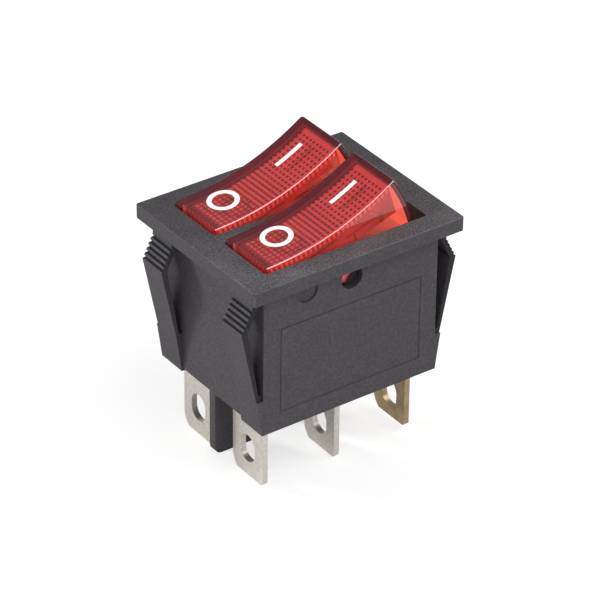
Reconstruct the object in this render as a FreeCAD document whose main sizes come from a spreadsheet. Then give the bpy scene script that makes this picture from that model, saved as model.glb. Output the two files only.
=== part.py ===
import FreeCAD, Part
import math
import os
import Sketcher

# Double illuminated panel rocker switch, millimetres, Z up.
# X runs along the rockers (the I ends at +X), Y across them.
# Z = 0 is the underside of the bezel, where it lies on the panel.

doc = FreeCAD.newDocument("rocker_switch")
sheet = doc.addObject("Spreadsheet::Sheet", "dims")
ROWS = []


class Size:
    """A number together with its formula in the sheet."""

    def __init__(self, number, formula):
        self.number = float(number)
        self.formula = formula

    def joined(self, other, sign, number):
        return Size(number, "(%s %s %s)" % (self.formula, sign, other.formula))

    def __add__(self, other):
        other = sized(other)
        return self.joined(other, "+", self.number + other.number)

    def __radd__(self, other):
        return sized(other) + self

    def __sub__(self, other):
        other = sized(other)
        return self.joined(other, "-", self.number - other.number)

    def __rsub__(self, other):
        return sized(other) - self

    def __mul__(self, other):
        other = sized(other)
        return self.joined(other, "*", self.number * other.number)

    def __rmul__(self, other):
        return sized(other) * self

    def __truediv__(self, other):
        other = sized(other)
        return self.joined(other, "/", self.number / other.number)

    def __neg__(self):
        return sized(0) - self


def sized(value):
    """A plain number as a Size; a Size stays as it is."""
    if isinstance(value, Size):
        return value
    return Size(value, "(%.6f)" % value if value < 0 else "%.6f" % value)


def size(name, value):
    """A settable size: one row of the sheet."""
    ROWS.append(name)
    row = len(ROWS)
    sheet.set("A%d" % row, name.replace("_", " "))
    sheet.set("B%d" % row, str(value))
    sheet.setAlias("B%d" % row, name)
    return Size(value, "dims." + name)


def sine(angle):
    return Size(math.sin(math.radians(angle.number)), "sin(%s)" % angle.formula)


def cosine(angle):
    return Size(math.cos(math.radians(angle.number)), "cos(%s)" % angle.formula)


def tangent(angle):
    return sine(angle) / cosine(angle)


# Bezel and body
bezel_end_lip = size("bezel_end_lip", 2.6)
bezel_side_lip = size("bezel_side_lip", 1.75)
bezel_thickness = size("bezel_thickness", 1.9)
bezel_corner = size("bezel_corner", 0.35)
bezel_edge = size("bezel_edge", 0.15)
seat_rim = size("seat_rim", 0.8)
seat_relief = size("seat_relief", 0.25)
body_length = size("body_length", 25.8)
body_width = size("body_width", 21.7)
body_depth = size("body_depth", 20.1)
floor_thickness = size("floor_thickness", 2.2)
floor_recess = size("floor_recess", 0.4)
end_wall = size("end_wall", 1.0)
side_wall = size("side_wall", 1.1)
centre_wall = size("centre_wall", 1.9)
window_corner = size("window_corner", 0.4)
label_margin = size("label_margin", 2.4)
label_height = size("label_height", 12.0)
label_top = size("label_top", 5.6)
label_depth = size("label_depth", 0.12)
label_line = size("label_line", 0.22)
plug_offset = size("plug_offset", 6.55)
plug_drop = size("plug_drop", 1.8)
plug_radius = size("plug_radius", 1.5)
plug_depth = size("plug_depth", 0.28)
barrier_thickness = size("barrier_thickness", 1.2)
barrier_length = size("barrier_length", 7.0)
barrier_depth = size("barrier_depth", 8.6)
barrier_corner = size("barrier_corner", 1.0)

# Snap wings
wing_width = size("wing_width", 4.15)
wing_inset = size("wing_inset", 0.25)
wing_gap = size("wing_gap", 0.5)
wing_top_reach = size("wing_top_reach", 1.45)
wing_knee_reach = size("wing_knee_reach", 3.0)
wing_root_reach = size("wing_root_reach", 0.87)
wing_foot_reach = size("wing_foot_reach", 0.15)
wing_ramp_top = size("wing_ramp_top", 1.65)
wing_knee_drop = size("wing_knee_drop", 4.8)
wing_root_drop = size("wing_root_drop", 15.1)
wing_thickness = size("wing_thickness", 0.85)
wing_root_thickness = size("wing_root_thickness", 0.35)
wing_notch = size("wing_notch", 0.6)
tooth_depth = size("tooth_depth", 0.34)
TEETH = 5
WIRE_STEPS = 12
WIRE_SIDES = 6

# Rockers
pivot_drop = size("pivot_drop", 2.1)
pivot_radius = size("pivot_radius", 1.5)
pivot_clearance = size("pivot_clearance", 0.07)
boss_length = size("boss_length", 0.8)
rocker_clearance = size("rocker_clearance", 0.2)
rocker_end_clearance = size("rocker_end_clearance", 1.1)
rocker_tilt = size("rocker_tilt", 17.5)
rocker_end_lean = size("rocker_end_lean", 0.95)
rocker_height = size("rocker_height", 7.95)
rocker_sag = size("rocker_sag", 1.45)
rocker_end_radius = size("rocker_end_radius", 24.0)
rocker_skirt = size("rocker_skirt", 0.8)
rocker_ear_drop = size("rocker_ear_drop", 2.1)
rocker_ear_half = size("rocker_ear_half", 3.2)
rocker_side = size("rocker_side", 0.7)
rocker_end = size("rocker_end", 0.5)
rocker_top = size("rocker_top", 0.6)
rocker_corner = size("rocker_corner", 0.45)
rocker_round = size("rocker_round", 0.3)
nest_clearance = size("nest_clearance", 0.05)
diffuser_top = size("diffuser_top", 0.9)
diffuser_skirt = size("diffuser_skirt", 0.8)
diffuser_foot = size("diffuser_foot", 2.6)

# Carrier, plunger and spring in each rocker
carrier_end_gap = size("carrier_end_gap", 0.9)
carrier_top = size("carrier_top", 0.4)
carrier_bottom = size("carrier_bottom", 0.7)
sleeve_radius = size("sleeve_radius", 1.9)
sleeve_drop = size("sleeve_drop", 6.6)
sleeve_rise = size("sleeve_rise", 2.4)
sleeve_roof = size("sleeve_roof", 1.0)
plunger_radius = size("plunger_radius", 1.2)
plunger_clearance = size("plunger_clearance", 0.06)
plunger_bar_gap = size("plunger_bar_gap", 0.85)
plunger_top = size("plunger_top", 3.9)
wire_radius = size("wire_radius", 0.16)
coil_clearance = size("coil_clearance", 0.12)
lamp_radius = size("lamp_radius", 1.2)
lamp_sleeve_gap = size("lamp_sleeve_gap", 0.5)
lamp_end_gap = size("lamp_end_gap", 1.4)
resistor_radius = size("resistor_radius", 0.9)
resistor_sleeve_gap = size("resistor_sleeve_gap", 1.3)
resistor_end_gap = size("resistor_end_gap", 1.8)
probe_end_gap = size("probe_end_gap", 1.8)
probe_radius = size("probe_radius", 0.95)
probe_length = size("probe_length", 2.1)

# Contact bars, terminals and contacts
blade_width = size("blade_width", 6.3)
blade_thickness = size("blade_thickness", 0.8)
blade_tip = size("blade_tip", 29.7)
blade_tip_short = size("blade_tip_short", 29.2)
blade_chamfer = size("blade_chamfer", 0.45)
blade_slant_width = size("blade_slant_width", 1.3)
blade_slant_height = size("blade_slant_height", 1.8)
blade_slant_radius = size("blade_slant_radius", 3.0)
blade_lead = size("blade_lead", 0.2)
blade_end_gap = size("blade_end_gap", 1.1)
blade_shift = size("blade_shift", -0.15)
blade_hole_width = size("blade_hole_width", 3.0)
blade_hole_height = size("blade_hole_height", 3.86)
blade_hole_drop = size("blade_hole_drop", 25.6)
blade_bend = size("blade_bend", 0.5)
slot_clearance = size("slot_clearance", 0.05)
shoulder_width = size("shoulder_width", 7.4)
shoulder_height = size("shoulder_height", 1.2)
knife_drop = size("knife_drop", 12.8)
knife_chamfer = size("knife_chamfer", 0.3)
ear_rise = size("ear_rise", 1.5)
ear_width = size("ear_width", 1.0)
bar_tilt = size("bar_tilt", 8.0)
bar_width = size("bar_width", 3.9)
bar_thickness = size("bar_thickness", 0.7)
bar_seat = size("bar_seat", 0.03)
bar_flat_half = size("bar_flat_half", 0.8)
bar_angle = size("bar_angle", 18.0)
bar_short_gap = size("bar_short_gap", 5.8)
bar_long_gap = size("bar_long_gap", 3.4)
bar_tab = size("bar_tab", 3.0)
contact_radius = size("contact_radius", 1.3)
contact_height = size("contact_height", 0.6)
contact_gap = size("contact_gap", 0.05)
shelf_reach = size("shelf_reach", 3.6)
lamp_shelf_drop = size("lamp_shelf_drop", 7.6)
lamp_shelf_reach = size("lamp_shelf_reach", 5.4)

# What follows from the sizes above
bezel_length = body_length + 2 * bezel_end_lip
bezel_width = body_width + 2 * bezel_side_lip
body_half = body_length / 2
body_side = body_width / 2
label_length = body_length - 2 * label_margin
window_length = body_length - 2 * end_wall
window_width = (body_width - 2 * side_wall - centre_wall) / 2
pole_offset = (centre_wall + window_width) / 2
cavity_depth = body_depth - floor_thickness
rocker_width = window_width - 2 * rocker_clearance
rocker_foot_half = window_length / 2 - rocker_end_clearance
rocker_top_half = rocker_foot_half - rocker_end_lean
carrier_half = rocker_foot_half - rocker_end - carrier_end_gap
plunger_reach = knife_drop - pivot_drop - plunger_bar_gap
sleeve_bore = plunger_radius + plunger_clearance
coil_radius = plunger_radius - coil_clearance - wire_radius
lamp_inner = sleeve_radius + lamp_sleeve_gap
lamp_outer = carrier_half - lamp_end_gap
resistor_inner = sleeve_radius + resistor_sleeve_gap
resistor_outer = carrier_half - resistor_end_gap
probe_offset = carrier_half - probe_end_gap
blade_pitch = window_length / 2 - blade_end_gap
bar_short_arm = blade_pitch - bar_short_gap
bar_long_arm = blade_pitch - bar_long_gap
POLES = (("near", -1), ("far", 1))
blade_x = {"line": blade_shift - blade_pitch, "common": blade_shift, "lamp": blade_shift + blade_pitch}


def vector(x, y, z=0.0):
    return FreeCAD.Vector(x, y, z)


def new_body(label):
    body = doc.addObject("PartDesign::Body", "Body_" + label)
    body.Label = label
    return body


def new_sketch(body, plane, name, offset=None):
    """A sketch on one of the body's own planes, moved along its normal."""
    sketch = body.newObject("Sketcher::SketchObject", name)
    for feature in body.Origin.OriginFeatures:
        if feature.Role == plane:
            sketch.AttachmentSupport = [(feature, "")]
    sketch.MapMode = "FlatFace"
    if offset is not None:
        sketch.AttachmentOffset = FreeCAD.Placement(vector(0, 0, offset.number), FreeCAD.Rotation())
        sketch.setExpression("AttachmentOffset.Base.z", offset.formula)
    return sketch


def pin_point(sketch, geometry, position, x, y):
    """Dimensions one point of the sketch from its origin."""
    for kind, value in (("DistanceX", x), ("DistanceY", y)):
        value = sized(value)
        index = sketch.addConstraint(
            Sketcher.Constraint(kind, -1, 1, geometry, position, value.number))
        if "dims." in value.formula:
            sketch.setExpression("Constraints[%d]" % index, value.formula)


def draw_outline(sketch, corners):
    """A closed outline. A corner is (x, y) or (x, y, radius): with a radius
    an arc runs on to the next corner, bulging to its right, or to its left
    when the sign in a fourth place is -1."""
    count = len(corners)
    points = [vector(sized(c[0]).number, sized(c[1]).number) for c in corners]
    ends = []
    for index, corner in enumerate(corners):
        start = points[index]
        end = points[(index + 1) % count]
        if len(corner) == 2:
            number = sketch.addGeometry(Part.LineSegment(start, end), False)
            ends.append((number, 1, 2))
            continue
        radius = sized(corner[2]).number
        side = corner[3] if len(corner) > 3 else 1
        chord = end - start
        half = chord.Length / 2
        depth = math.sqrt(radius * radius - half * half)
        inward = vector(-chord.y, chord.x).normalize() * (depth * side)
        centre = (start + end) * 0.5 + inward
        circle = Part.Circle(centre, vector(0, 0, 1), radius)
        first, last = (start, end) if side > 0 else (end, start)
        low = math.atan2(first.y - centre.y, first.x - centre.x)
        high = math.atan2(last.y - centre.y, last.x - centre.x)
        if high < low:
            high += 2 * math.pi
        number = sketch.addGeometry(Part.ArcOfCircle(circle, low, high), False)
        ends.append((number, 1, 2) if side > 0 else (number, 2, 1))
    for index in range(count):
        number, first, last = ends[index]
        after, after_first, after_last = ends[(index + 1) % count]
        sketch.addConstraint(Sketcher.Constraint("Coincident", number, last, after, after_first))
        pin_point(sketch, number, first, corners[index][0], corners[index][1])
        if len(corners[index]) > 2:
            radius = sized(corners[index][2])
            place = sketch.addConstraint(Sketcher.Constraint("Radius", number, radius.number))
            sketch.setExpression("Constraints[%d]" % place, radius.formula)


def draw_box(sketch, x_low, x_high, y_low, y_high):
    draw_outline(sketch, [(x_low, y_low), (x_high, y_low), (x_high, y_high), (x_low, y_high)])


def draw_circle(sketch, x, y, radius):
    radius = sized(radius)
    centre = vector(sized(x).number, sized(y).number)
    circle = Part.Circle(centre, vector(0, 0, 1), radius.number)
    number = sketch.addGeometry(circle, False)
    pin_point(sketch, number, 3, x, y)
    place = sketch.addConstraint(Sketcher.Constraint("Radius", number, radius.number))
    sketch.setExpression("Constraints[%d]" % place, radius.formula)


def draw_slot(sketch, x, y, width, height):
    """An upright slot with half-round ends."""
    reach = (height - width) / 2
    half = width / 2
    draw_outline(sketch, [
        (x - half, y - reach, half * 1.000001),
        (x + half, y - reach),
        (x + half, y + reach, half * 1.000001),
        (x - half, y + reach)])


def swept(body, kind, name, sketch, length, midplane=False, reverse=False):
    """A Pad or Pocket of a sketch."""
    feature = body.newObject("PartDesign::" + kind, name)
    feature.Profile = sketch
    feature.Length = length.number
    feature.setExpression("Length", length.formula)
    feature.Midplane = midplane
    feature.Reversed = reverse
    sketch.Visibility = False
    doc.recompute()
    return feature


def pad(body, name, sketch, length, **options):
    return swept(body, "Pad", name, sketch, sized(length), **options)


def pocket(body, name, sketch, length, **options):
    before = body.Shape.Volume
    feature = swept(body, "Pocket", name, sketch, sized(length), **options)
    if feature.Shape.isNull() or feature.Shape.Volume >= before - 1e-6:
        raise RuntimeError(name + " cuts nothing")
    return feature


def dress(body, kind, name, amount, wanted):
    """Fillet or Chamfer of the edges that wanted() picks."""
    base = body.Tip
    names = []
    for index, edge in enumerate(base.Shape.Edges):
        if wanted(edge):
            names.append("Edge%d" % (index + 1))
    if not names:
        raise RuntimeError(name + " finds no edge")
    feature = body.newObject("PartDesign::" + kind, name)
    feature.Base = (base, names)
    key = "Radius" if kind == "Fillet" else "Size"
    setattr(feature, key, amount.number)
    feature.setExpression(key, amount.formula)
    doc.recompute()
    return feature


def along(edge, axis):
    """True for a straight edge parallel to the axis numbered 0, 1 or 2."""
    if edge.Curve.TypeId != "Part::GeomLine":
        return False
    first, last = edge.Vertexes[0].Point, edge.Vertexes[-1].Point
    step = last - first
    return abs(abs(step[axis]) - step.Length) < 1e-6


def near(value, wanted):
    return abs(value - sized(wanted).number) < 1e-4


def turned(body, name, profile, axis="V_Axis"):
    """A full Revolution of an outline on the body's XZ plane."""
    sketch = new_sketch(body, "XZ_Plane", name + "_profile")
    draw_outline(sketch, profile)
    feature = body.newObject("PartDesign::Revolution", name)
    feature.Profile = sketch
    feature.ReferenceAxis = (sketch, [axis])
    feature.Angle = 360.0
    sketch.Visibility = False
    doc.recompute()
    return feature


def place(body, x, y, z, angle=None):
    """Sets a body down, turned about Y by the angle in degrees."""
    x, y, z = sized(x), sized(y), sized(z)
    rotation = FreeCAD.Rotation(vector(0, 1, 0), angle.number if angle else 0.0)
    body.Placement = FreeCAD.Placement(vector(x.number, y.number, z.number), rotation)
    body.setExpression("Placement.Base.x", x.formula)
    body.setExpression("Placement.Base.y", y.formula)
    body.setExpression("Placement.Base.z", z.formula)
    if angle:
        body.setExpression("Placement.Rotation.Angle", angle.formula)


def wing_outline(side):
    """Side view of one snap wing, its ratchet teeth included."""
    ramp_reach = wing_knee_reach - wing_top_reach
    ramp_drop = wing_knee_drop - wing_ramp_top
    top = body_half + wing_top_reach
    points = [(top - wing_thickness, -wing_gap), (top, -wing_gap), (top, -wing_ramp_top)]
    for index in range(TEETH):
        start = (index + 0.25) / TEETH
        floor = (index + 0.45) / TEETH
        end = (index + 0.8) / TEETH
        points.append((top + ramp_reach * start, -wing_ramp_top - ramp_drop * start))
        points.append((top + ramp_reach * floor - tooth_depth, -wing_ramp_top - ramp_drop * floor))
        points.append((top + ramp_reach * end - tooth_depth, -wing_ramp_top - ramp_drop * end))
        points.append((top + ramp_reach * end, -wing_ramp_top - ramp_drop * end))
    points.append((body_half + wing_knee_reach, -wing_knee_drop))
    points.append((body_half + wing_root_reach, -wing_root_drop))
    points.append((body_half - end_wall / 2, -wing_root_drop))
    points.append((body_half - end_wall / 2, wing_notch - wing_root_drop))
    points.append((body_half + wing_root_reach - wing_root_thickness, wing_notch - wing_root_drop))
    points.append((body_half + wing_knee_reach - wing_thickness, -wing_knee_drop))
    points.append((top - wing_thickness, -wing_ramp_top))
    return [(side * x, y) for x, y in points]


def add_wing(body, side, row):
    """One snap wing: the free blade above and its root strip below."""
    name = "wing_%s_%s" % ("minus" if side < 0 else "plus", "near" if row < 0 else "far")
    middle = row * (body_side - wing_inset - wing_width / 2)
    sketch = new_sketch(body, "XZ_Plane", name + "_outline", -middle)
    draw_outline(sketch, wing_outline(side))
    pad(body, name, sketch, wing_width, midplane=True)
    strip = wing_width + wing_inset
    sketch = new_sketch(body, "XZ_Plane", name + "_root_outline", -row * (body_side - strip / 2))
    draw_outline(sketch, [
        (side * (body_half - end_wall / 2), -wing_root_drop),
        (side * (body_half + wing_root_reach), -wing_root_drop),
        (side * (body_half + wing_foot_reach), -body_depth),
        (side * (body_half - end_wall / 2), -body_depth)])
    pad(body, name + "_root", sketch, strip, midplane=True)


def make_housing():
    """Bezel, case, floor, barrier rib and four snap wings: one moulding."""
    body = new_body("housing")
    sketch = new_sketch(body, "XY_Plane", "bezel_outline")
    draw_box(sketch, -bezel_length / 2, bezel_length / 2, -bezel_width / 2, bezel_width / 2)
    pad(body, "bezel", sketch, bezel_thickness)

    def bezel_corner_edge(edge):
        return along(edge, 2)

    dress(body, "Fillet", "bezel_corners", bezel_corner, bezel_corner_edge)

    def bezel_rim_edge(edge):
        return near(edge.BoundBox.ZMin, bezel_thickness)

    dress(body, "Fillet", "bezel_rim", bezel_edge, bezel_rim_edge)

    sketch = new_sketch(body, "XY_Plane", "seat_relief_outline")
    relief_half = bezel_length / 2 - seat_rim
    relief_side = bezel_width / 2 - seat_rim
    draw_box(sketch, -relief_half, relief_half, -relief_side, relief_side)
    pocket(body, "seat_relief", sketch, seat_relief, reverse=True)

    sketch = new_sketch(body, "XY_Plane", "case_outline", seat_relief)
    draw_box(sketch, -body_half, body_half, -body_side, body_side)
    pad(body, "case", sketch, body_depth + seat_relief, reverse=True)

    for side in (-1, 1):
        for row in (-1, 1):
            add_wing(body, side, row)

    sketch = new_sketch(body, "XZ_Plane", "barrier_outline")
    draw_outline(sketch, [
        (-body_half, -body_depth + floor_thickness / 2),
        (-body_half, barrier_corner - body_depth - barrier_depth, barrier_corner * 1.000001),
        (barrier_corner - body_half, -body_depth - barrier_depth),
        (barrier_length - body_half, -body_depth - barrier_depth),
        (barrier_length - body_half, -body_depth + floor_thickness / 2)])
    pad(body, "barrier", sketch, barrier_thickness, midplane=True)

    sketch = new_sketch(body, "XY_Plane", "cavity_outline", bezel_thickness)
    for name, row in POLES:
        centre = row * pole_offset
        draw_box(sketch, -window_length / 2, window_length / 2,
                 centre - window_width / 2, centre + window_width / 2)
    pocket(body, "cavities", sketch, bezel_thickness + cavity_depth)

    def window_corner_edge(edge):
        inside = abs(edge.Vertexes[0].X) - window_length.number / 2
        return along(edge, 2) and abs(inside) < 1e-4 and edge.Length > cavity_depth.number

    dress(body, "Fillet", "cavity_corners", window_corner, window_corner_edge)

    sketch = new_sketch(body, "XY_Plane", "floor_slots_outline", -body_depth)
    for name, row in POLES:
        for x in blade_x.values():
            centre = row * pole_offset
            half_thick = blade_thickness / 2 + slot_clearance
            half_wide = blade_width / 2 + slot_clearance
            draw_box(sketch, x - half_thick, x + half_thick, centre - half_wide, centre + half_wide)
    pocket(body, "floor_slots", sketch, floor_thickness, reverse=True)

    sketch = new_sketch(body, "XY_Plane", "floor_recess_outline", -body_depth)
    inner = body_side - wing_width - wing_inset
    draw_box(sketch, barrier_length - body_half, body_half, -inner, inner)
    draw_box(sketch, -body_half, barrier_length - body_half - 0.001, barrier_thickness / 2, inner)
    draw_box(sketch, -body_half, barrier_length - body_half - 0.001, -inner, -barrier_thickness / 2)
    pocket(body, "floor_recess", sketch, floor_recess, reverse=True)

    sketch = new_sketch(body, "XZ_Plane", "pivot_holes_outline")
    draw_circle(sketch, 0, -pivot_drop, pivot_radius + pivot_clearance)
    pocket(body, "pivot_holes", sketch, body_width + 1, midplane=True)

    for name, row in POLES:
        sketch = new_sketch(body, "XZ_Plane", "label_outline_" + name, -row * body_side)
        draw_box(sketch, -label_length / 2, label_length / 2,
                 -label_top - label_height, -label_top)
        draw_box(sketch, label_line - label_length / 2, label_length / 2 - label_line,
                 label_line - label_top - label_height, -label_top - label_line)
        pocket(body, "label_" + name, sketch, label_depth, reverse=row > 0)
        sketch = new_sketch(body, "XZ_Plane", "plug_outline_" + name, -row * body_side)
        draw_circle(sketch, -plug_offset, -plug_drop, plug_radius)
        pocket(body, "plug_" + name, sketch, plug_depth, reverse=row > 0)
    return body


def rocker_sag_radius(inset):
    """Radius of the hollow top, or of a surface parallel to it below."""
    top = rocker_top_half
    return (top * top + rocker_sag * rocker_sag) / (2 * rocker_sag) + inset


def hollow_height(x_half, inset):
    """Height above the pivot of the inset top surface at +-x_half."""
    radius = rocker_sag_radius(inset)
    centre = rocker_height - rocker_sag + rocker_sag_radius(0)
    number = centre.number - math.sqrt(radius.number ** 2 - x_half.number ** 2)
    formula = "(%s - sqrt(%s ^ 2 - %s ^ 2))" % (centre.formula, radius.formula, x_half.formula)
    return Size(number, formula)


def place_in_rocker(body, row, x=0, z=0):
    """Puts a body in the rocker's frame: turned about the pivot."""
    x, z = sized(x), sized(z)
    up, along_x = cosine(rocker_tilt), sine(rocker_tilt)
    place(body, x * up - z * along_x, row * pole_offset, x * along_x + z * up - pivot_drop, -rocker_tilt)


def make_rocker(name, row):
    """Clear red rocker shell with its two pivot bosses."""
    body = new_body("rocker_" + name)
    sketch = new_sketch(body, "XZ_Plane", "rocker_outline_" + name)
    slope = rocker_ear_half + 1
    draw_outline(sketch, [
        (-rocker_foot_half, -rocker_skirt),
        (-slope, -rocker_skirt),
        (-rocker_ear_half, -rocker_ear_drop),
        (rocker_ear_half, -rocker_ear_drop),
        (slope, -rocker_skirt),
        (rocker_foot_half, -rocker_skirt, rocker_end_radius),
        (rocker_top_half, rocker_height, rocker_sag_radius(0), -1),
        (-rocker_top_half, rocker_height, rocker_end_radius)])
    pad(body, "rocker_block_" + name, sketch, rocker_width, midplane=True)

    def end_corner_edge(edge):
        return edge.Curve.TypeId == "Part::GeomCircle" and near(edge.Curve.Radius, rocker_end_radius)

    dress(body, "Fillet", "rocker_corners_" + name, rocker_corner, end_corner_edge)

    def top_rim_edge(edge):
        low = rocker_height.number - rocker_sag.number - rocker_round.number / 2
        return edge.BoundBox.ZMin > low

    dress(body, "Fillet", "rocker_rim_" + name, rocker_round, top_rim_edge)

    sketch = new_sketch(body, "XZ_Plane", "rocker_hollow_outline_" + name)
    top_half = rocker_top_half - rocker_end
    foot_half = rocker_foot_half - rocker_end
    draw_outline(sketch, [
        (-foot_half, -rocker_ear_drop - 1),
        (foot_half, -rocker_ear_drop - 1),
        (foot_half, 0, rocker_end_radius),
        (top_half, hollow_height(top_half, rocker_top), rocker_sag_radius(rocker_top), -1),
        (-top_half, hollow_height(top_half, rocker_top), rocker_end_radius),
        (-foot_half, 0)])
    pocket(body, "rocker_hollow_" + name, sketch, rocker_width - 2 * rocker_side, midplane=True)

    for side in (-1, 1):
        word = "outer" if side == row else "inner"
        sketch = new_sketch(body, "XZ_Plane", "boss_%s_outline_%s" % (word, name),
                            -side * rocker_width / 2)
        draw_circle(sketch, 0, 0, pivot_radius)
        pad(body, "boss_%s_%s" % (word, name), sketch, boss_length, reverse=side > 0)

    def boss_lead_edge(edge):
        tip = rocker_width.number / 2 + boss_length.number
        return edge.Curve.TypeId == "Part::GeomCircle" and abs(abs(edge.BoundBox.YMin) - tip) < 1e-4

    dress(body, "Chamfer", "boss_leads_" + name, boss_length * 0.55, boss_lead_edge)
    place_in_rocker(body, row)


def make_diffuser(name, row):
    """Translucent block under the rocker's top, hollow for the lamp."""
    body = new_body("diffuser_" + name)
    inset = rocker_top + nest_clearance
    half = rocker_top_half - rocker_end - nest_clearance * 2
    width = rocker_width - 2 * rocker_side - 2 * nest_clearance
    sketch = new_sketch(body, "XZ_Plane", "diffuser_outline_" + name)
    height = hollow_height(half, inset)
    draw_outline(sketch, [
        (-half, diffuser_foot), (half, diffuser_foot),
        (half, height, rocker_sag_radius(inset), -1), (-half, height)])
    pad(body, "diffuser_block_" + name, sketch, width, midplane=True)
    inset = inset + diffuser_top
    half = half - diffuser_skirt
    height = hollow_height(half, inset)
    sketch = new_sketch(body, "XZ_Plane", "lamp_chamber_outline_" + name)
    draw_outline(sketch, [
        (-half, diffuser_foot - 1), (half, diffuser_foot - 1),
        (half, height, rocker_sag_radius(inset), -1), (-half, height)])
    pocket(body, "lamp_chamber_" + name, sketch, width - 2 * diffuser_skirt, midplane=True)
    place_in_rocker(body, row)


def make_carrier(name, row):
    """Plate in the rocker's mouth with the sleeve that guides the plunger."""
    body = new_body("carrier_" + name)
    width = rocker_width - 2 * rocker_side - 2 * nest_clearance
    sketch = new_sketch(body, "XZ_Plane", "carrier_outline_" + name)
    draw_box(sketch, -carrier_half, carrier_half, -carrier_bottom, carrier_top)
    pad(body, "carrier_plate_" + name, sketch, width, midplane=True)
    sketch = new_sketch(body, "XY_Plane", "sleeve_outline_" + name, -sleeve_drop)
    draw_circle(sketch, 0, 0, sleeve_radius)
    pad(body, "sleeve_" + name, sketch, sleeve_drop + sleeve_rise)
    sketch = new_sketch(body, "XY_Plane", "probe_post_outline_" + name, -carrier_bottom)
    draw_circle(sketch, probe_offset, 0, probe_radius - wire_radius - coil_clearance)
    pad(body, "probe_post_" + name, sketch, probe_length / 2, reverse=True)
    sketch = new_sketch(body, "XY_Plane", "sleeve_bore_outline_" + name, -sleeve_drop)
    draw_circle(sketch, 0, 0, sleeve_bore)
    pocket(body, "sleeve_bore_" + name, sketch, sleeve_drop + sleeve_rise - sleeve_roof, reverse=True)
    place_in_rocker(body, row)


def make_plunger(name, row):
    """Pin with a domed tip that slides in the sleeve and rides on the bar."""
    body = new_body("plunger_" + name)
    shoulder = plunger_radius - plunger_reach
    turned(body, "plunger_pin_" + name, [
        (0, -plunger_reach, plunger_radius * 1.000001),
        (plunger_radius, shoulder),
        (plunger_radius, -plunger_top),
        (0, -plunger_top)])
    place_in_rocker(body, row)


def make_coil(label, radius, height, turns):
    """Compression spring as one solid: a faceted wire along a helix."""
    steps = turns * WIRE_STEPS
    run = (height - 2 * wire_radius).number
    rings = []
    for index in range(steps + 1):
        angle = 2 * math.pi * index / WIRE_STEPS
        ring = []
        for side in range(WIRE_SIDES):
            slant = 2 * math.pi * (side + 0.5) / WIRE_SIDES
            out = radius.number + wire_radius.number * math.cos(slant)
            rise = wire_radius.number * (1 + math.sin(slant)) + run * index / steps
            ring.append(vector(out * math.cos(angle), out * math.sin(angle), rise))
        rings.append(ring)
    faces = [Part.Face(Part.makePolygon(ring + ring[:1])) for ring in (rings[0], rings[-1])]
    for low, high in zip(rings, rings[1:]):
        for side in range(WIRE_SIDES):
            other = (side + 1) % WIRE_SIDES
            for corners in ((low[side], low[other], high[other]), (low[side], high[other], high[side])):
                faces.append(Part.Face(Part.makePolygon(list(corners) + [corners[0]])))
    solid = Part.Solid(Part.Shell(faces))
    if solid.Volume < 0:
        solid.reverse()
    spring = doc.addObject("Part::Feature", "Spring_" + label)
    spring.Label = label
    spring.Shape = solid
    return spring


def make_springs(name, row):
    """Plunger spring in the sleeve, and lamp spring on its post."""
    room = sleeve_rise - sleeve_roof + plunger_top
    spring = make_coil("plunger_spring_" + name, coil_radius, room, 4)
    place_in_rocker(spring, row, 0, -plunger_top)
    probe = make_coil("lamp_spring_" + name, probe_radius, probe_length, 2)
    place_in_rocker(probe, row, probe_offset, -carrier_bottom - probe_length)


def make_cell(label, radius, inner, outer, row, side):
    """Lamp or resistor lying on the carrier, from inner to outer along it."""
    body = new_body(label)
    half = (outer - inner) / 2
    soft = radius * 0.4
    turned(body, label + "_barrel", [
        (-half, 0), (half, 0), (half, radius - soft), (half - soft, radius),
        (soft - half, radius), (-half, radius - soft)], "H_Axis")
    place_in_rocker(body, row, side * (inner + outer) / 2, carrier_top + radius)


def bar_frame(x, z):
    """Places a point of the bar's own frame in the rest pose."""
    ahead, up = cosine(bar_tilt), sine(bar_tilt)
    return blade_shift + x * ahead + z * up, z * ahead - x * up - knife_drop


def bar_end_height():
    return bar_seat + (bar_long_arm - bar_flat_half) * tangent(bar_angle)


def make_contact_bar(name, row):
    """Copper seesaw that rocks on the common terminal."""
    body = new_body("contact_bar_" + name)
    slope = tangent(bar_angle)
    tab_slope = tangent(bar_tilt)
    thick = bar_thickness / cosine(bar_angle)
    end = bar_end_height()
    right = bar_seat + (bar_short_arm - bar_flat_half) * slope
    left_end = -bar_long_arm - bar_tab
    sketch = new_sketch(body, "XZ_Plane", "contact_bar_outline_" + name)
    draw_outline(sketch, [
        (left_end, end + bar_tab * tab_slope),
        (-bar_long_arm, end),
        (-bar_flat_half, bar_seat),
        (bar_flat_half, bar_seat),
        (bar_short_arm, right),
        (bar_short_arm, right + thick),
        (bar_flat_half, bar_seat + thick),
        (-bar_flat_half, bar_seat + thick),
        (-bar_long_arm, end + thick),
        (left_end, end + bar_tab * tab_slope + thick)])
    pad(body, "contact_bar_strip_" + name, sketch, bar_width, midplane=True)
    place(body, blade_shift, row * pole_offset, -knife_drop, bar_tilt)


def contact_profile():
    soft = contact_height * 0.3
    return [(0, 0), (contact_radius, 0), (contact_radius, contact_height - soft),
            (contact_radius - soft, contact_height), (0, contact_height)]


def make_moving_contact(name, row):
    """Silver button under the bar's long end."""
    body = new_body("moving_contact_" + name)
    turned(body, "moving_button_" + name, [(x, -z) for x, z in contact_profile()])
    reach = bar_tab / 2
    x, z = bar_frame(-bar_long_arm - reach, bar_end_height() + reach * tangent(bar_tilt))
    place(body, x, row * pole_offset, z, bar_tilt * 2)


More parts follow.
